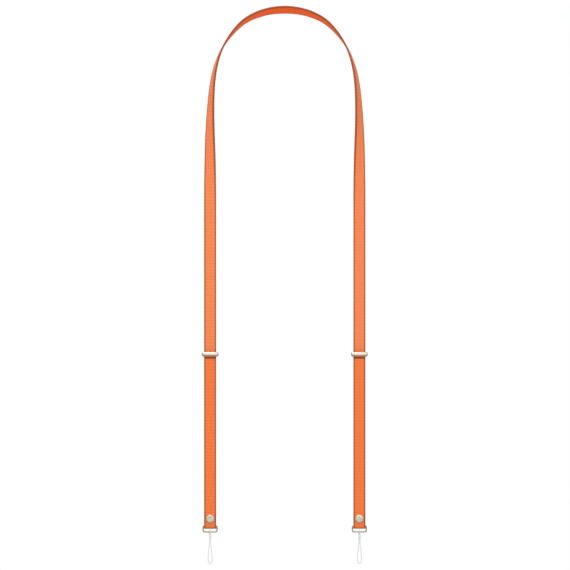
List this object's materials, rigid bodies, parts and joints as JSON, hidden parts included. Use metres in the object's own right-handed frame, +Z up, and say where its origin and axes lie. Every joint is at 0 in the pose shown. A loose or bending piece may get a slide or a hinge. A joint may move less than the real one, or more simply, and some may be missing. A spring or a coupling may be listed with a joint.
{
  "type": "webbing neck lanyard",
  "caption": "Ribbed orange webbing neck lanyard with snapped strap ends, sliding metal keepers, wire end rings and white string loops.",
  "frame": {"origin": "underside of the strap in the middle of the crown, where it rests on the neck", "axes": "+Z up the hanging legs to the crown, -Y the front with the snaps and folded ends, +X to the right in the front view"},
  "size_m": [0.1386, 0.0103, 0.4655],
  "materials": {
    "webbing": "matte ribbed polyester webbing",
    "polished_nickel": "polished nickel plate",
    "snap_metal": "pressed nickel-plated metal",
    "string": "fine white braided string"
  },
  "bodies": {
    "strap": {"left_fold_webbing": "webbing", "left_leg_webbing": "webbing", "left_shoulder_webbing": "webbing", "crown_webbing": "webbing", "right_shoulder_webbing": "webbing", "right_leg_webbing": "webbing", "right_fold_webbing": "webbing", "left_snap_stud": "snap_metal", "left_snap_post": "snap_metal", "right_snap_stud": "snap_metal", "right_snap_post": "snap_metal"},
    "left_flap": {"left_end_flap": "webbing", "left_snap_cap": "polished_nickel", "left_snap_socket": "snap_metal", "left_socket_spring": "snap_metal"},
    "left_keeper_body": {"left_keeper": "polished_nickel"},
    "left_ring_body": {"left_end_ring": "polished_nickel"},
    "left_string_body": {"left_string_loop": "string", "left_string_sleeve": "string"},
    "right_flap": {"right_end_flap": "webbing", "right_snap_cap": "polished_nickel", "right_snap_socket": "snap_metal", "right_socket_spring": "snap_metal"},
    "right_keeper_body": {"right_keeper": "polished_nickel"},
    "right_ring_body": {"right_end_ring": "polished_nickel"},
    "right_string_body": {"right_string_loop": "string", "right_string_sleeve": "string"}
  },
  "joints": [
    {"name": "left_keeper_slide", "type": "slide", "parent": "strap", "child": "left_keeper_body", "axis": [0, 0, 1], "range_m": [-0.02, 0.12]},
    {"name": "left_flap_hinge", "type": "hinge", "parent": "strap", "child": "left_flap", "pos_m": [-0.0622, -0.0042, -0.42897], "axis": [1, 0, 0], "range_deg": [0, 90]},
    {"name": "left_ring_swing", "type": "hinge", "parent": "strap", "child": "left_ring_body", "pos_m": [-0.0622, -0.00172, -0.42912], "axis": [1, 0, 0], "range_deg": [-45, 45]},
    {"name": "left_string_swing", "type": "hinge", "parent": "left_ring_body", "child": "left_string_body", "pos_m": [-0.0622, -0.00172, -0.4342], "axis": [1, 0, 0], "range_deg": [-40, 40]},
    {"name": "right_keeper_slide", "type": "slide", "parent": "strap", "child": "right_keeper_body", "axis": [0, 0, 1], "range_m": [-0.02, 0.12]},
    {"name": "right_flap_hinge", "type": "hinge", "parent": "strap", "child": "right_flap", "pos_m": [0.0622, -0.0042, -0.42897], "axis": [1, 0, 0], "range_deg": [0, 90]},
    {"name": "right_ring_swing", "type": "hinge", "parent": "strap", "child": "right_ring_body", "pos_m": [0.0622, -0.00172, -0.42912], "axis": [1, 0, 0], "range_deg": [-45, 45]},
    {"name": "right_string_swing", "type": "hinge", "parent": "right_ring_body", "child": "right_string_body", "pos_m": [0.0622, -0.00172, -0.4342], "axis": [1, 0, 0], "range_deg": [-40, 40]}
  ]
}
